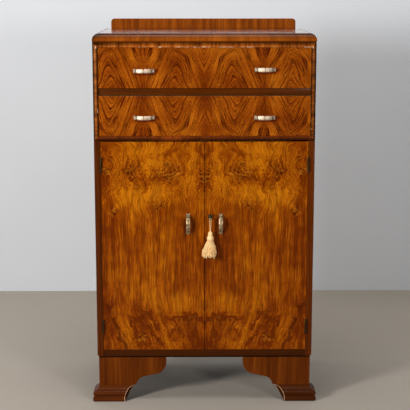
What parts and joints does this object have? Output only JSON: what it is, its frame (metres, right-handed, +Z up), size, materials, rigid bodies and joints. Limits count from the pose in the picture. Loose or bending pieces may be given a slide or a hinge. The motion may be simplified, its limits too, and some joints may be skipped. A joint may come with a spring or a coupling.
{
  "type": "tallboy",
  "caption": "Tallboy in polished walnut veneer: drawers with bow handles over a locking cupboard with hinged doors, on ogee bracket feet.",
  "frame": {"origin": "on the floor, in the middle of the width and midway between the back and the front of the key's bow", "axes": "+Z up, +X to the viewer's right when facing the doors, +Y to the back"},
  "size_m": [0.8018, 0.4879, 1.3415],
  "materials": {
    "figured_walnut": "polished book-matched veneer",
    "straight_walnut": "polished straight-grained veneer",
    "walnut_moulding": "polished, worn on the edges",
    "dark_stained_wood": "dark stain under polish",
    "carcase_wood": "plain, unpolished",
    "plywood": "plain, unpolished",
    "aged_nickel": "satin, yellowed with age",
    "aged_brass": "dark with age",
    "lock_steel": "dull",
    "screw_steel": "dull",
    "tassel_cord": "twisted cord",
    "tassel_thread": "loose thread"
  },
  "bodies": {
    "cabinet": {"back_gallery": "straight_walnut", "back_panel": "plywood", "base_moulding_back": "walnut_moulding", "base_moulding_left": "walnut_moulding", "base_moulding_right": "walnut_moulding", "bottom_board": "carcase_wood", "bottom_rail": "dark_stained_wood", "cupboard_top": "carcase_wood", "drawer_and_door_stops": "carcase_wood", "drawer_rail": "dark_stained_wood", "drawer_runners_and_kickers": "carcase_wood", "foot_back_left": "straight_walnut", "foot_back_right": "straight_walnut", "foot_blocks": "carcase_wood", "foot_front_left": "straight_walnut", "foot_front_right": "straight_walnut", "frame_moulding_left": "walnut_moulding", "frame_moulding_right": "walnut_moulding", "frame_moulding_top": "walnut_moulding", "hinge_pins": "aged_brass", "shelf": "carcase_wood", "shelf_bearers": "carcase_wood", "side_left": "straight_walnut", "side_right": "straight_walnut", "stile_hinge_leaves": "aged_brass", "stile_left": "dark_stained_wood", "stile_right": "dark_stained_wood", "top_board": "straight_walnut", "top_rail": "carcase_wood", "waist_strip": "dark_stained_wood"},
    "drawer_upper": {"drawer_upper_back": "carcase_wood", "drawer_upper_bottom": "plywood", "drawer_upper_front": "figured_walnut", "drawer_upper_handle_screws": "screw_steel", "drawer_upper_handles": "aged_nickel", "drawer_upper_side_left": "carcase_wood", "drawer_upper_side_right": "carcase_wood"},
    "drawer_lower": {"drawer_lower_back": "carcase_wood", "drawer_lower_bottom": "plywood", "drawer_lower_front": "figured_walnut", "drawer_lower_handle_screws": "screw_steel", "drawer_lower_handles": "aged_nickel", "drawer_lower_side_left": "carcase_wood", "drawer_lower_side_right": "carcase_wood"},
    "door_left": {"door_left_handle": "aged_nickel", "door_left_handle_screws": "screw_steel", "door_left_hinge_leaves": "aged_brass", "door_left_panel": "figured_walnut", "strike_plate": "aged_brass"},
    "door_right": {"door_right_handle": "aged_nickel", "door_right_handle_screws": "screw_steel", "door_right_hinge_leaves": "aged_brass", "door_right_panel": "figured_walnut", "keyhole_escutcheon": "aged_brass", "lock_case": "lock_steel"},
    "lock_bolt": {"lock_bolt": "lock_steel"},
    "key": {"key": "lock_steel"},
    "tassel": {"tassel_cord": "tassel_cord", "tassel_head": "tassel_thread", "tassel_skirt": "tassel_thread"}
  },
  "joints": [
    {"name": "drawer_upper_slide", "type": "slide", "parent": "cabinet", "child": "drawer_upper", "axis": [0, -1, 0], "range_m": [0, 0.32]},
    {"name": "drawer_lower_slide", "type": "slide", "parent": "cabinet", "child": "drawer_lower", "axis": [0, -1, 0], "range_m": [0, 0.32]},
    {"name": "door_left_swing", "type": "hinge", "parent": "cabinet", "child": "door_left", "pos_m": [-0.3585, -0.21855, 0.56475], "axis": [0, 0, -1], "range_deg": [0, 170]},
    {"name": "door_right_swing", "type": "hinge", "parent": "cabinet", "child": "door_right", "pos_m": [0.3585, -0.21855, 0.56475], "axis": [0, 0, 1], "range_deg": [0, 170]},
    {"name": "key_turn", "type": "hinge", "parent": "door_right", "child": "key", "pos_m": [0.02, -0.21455, 0.675], "axis": [0, 1, 0], "range_deg": [0, 90]},
    {"name": "bolt_throw", "type": "slide", "parent": "door_right", "child": "lock_bolt", "axis": [-1, 0, 0], "range_m": [0, 0.008]},
    {"name": "tassel_swing", "type": "hinge", "parent": "key", "child": "tassel", "pos_m": [0.02, -0.23255, 0.6665], "axis": [0, 1, 0], "range_deg": [-90, 0]}
  ],
  "couplings": [
    {"joint": "key_turn", "follows": "bolt_throw", "rad_per_m": 196.35},
    {"joint": "tassel_swing", "follows": "bolt_throw", "rad_per_m": -196.35}
  ]
}
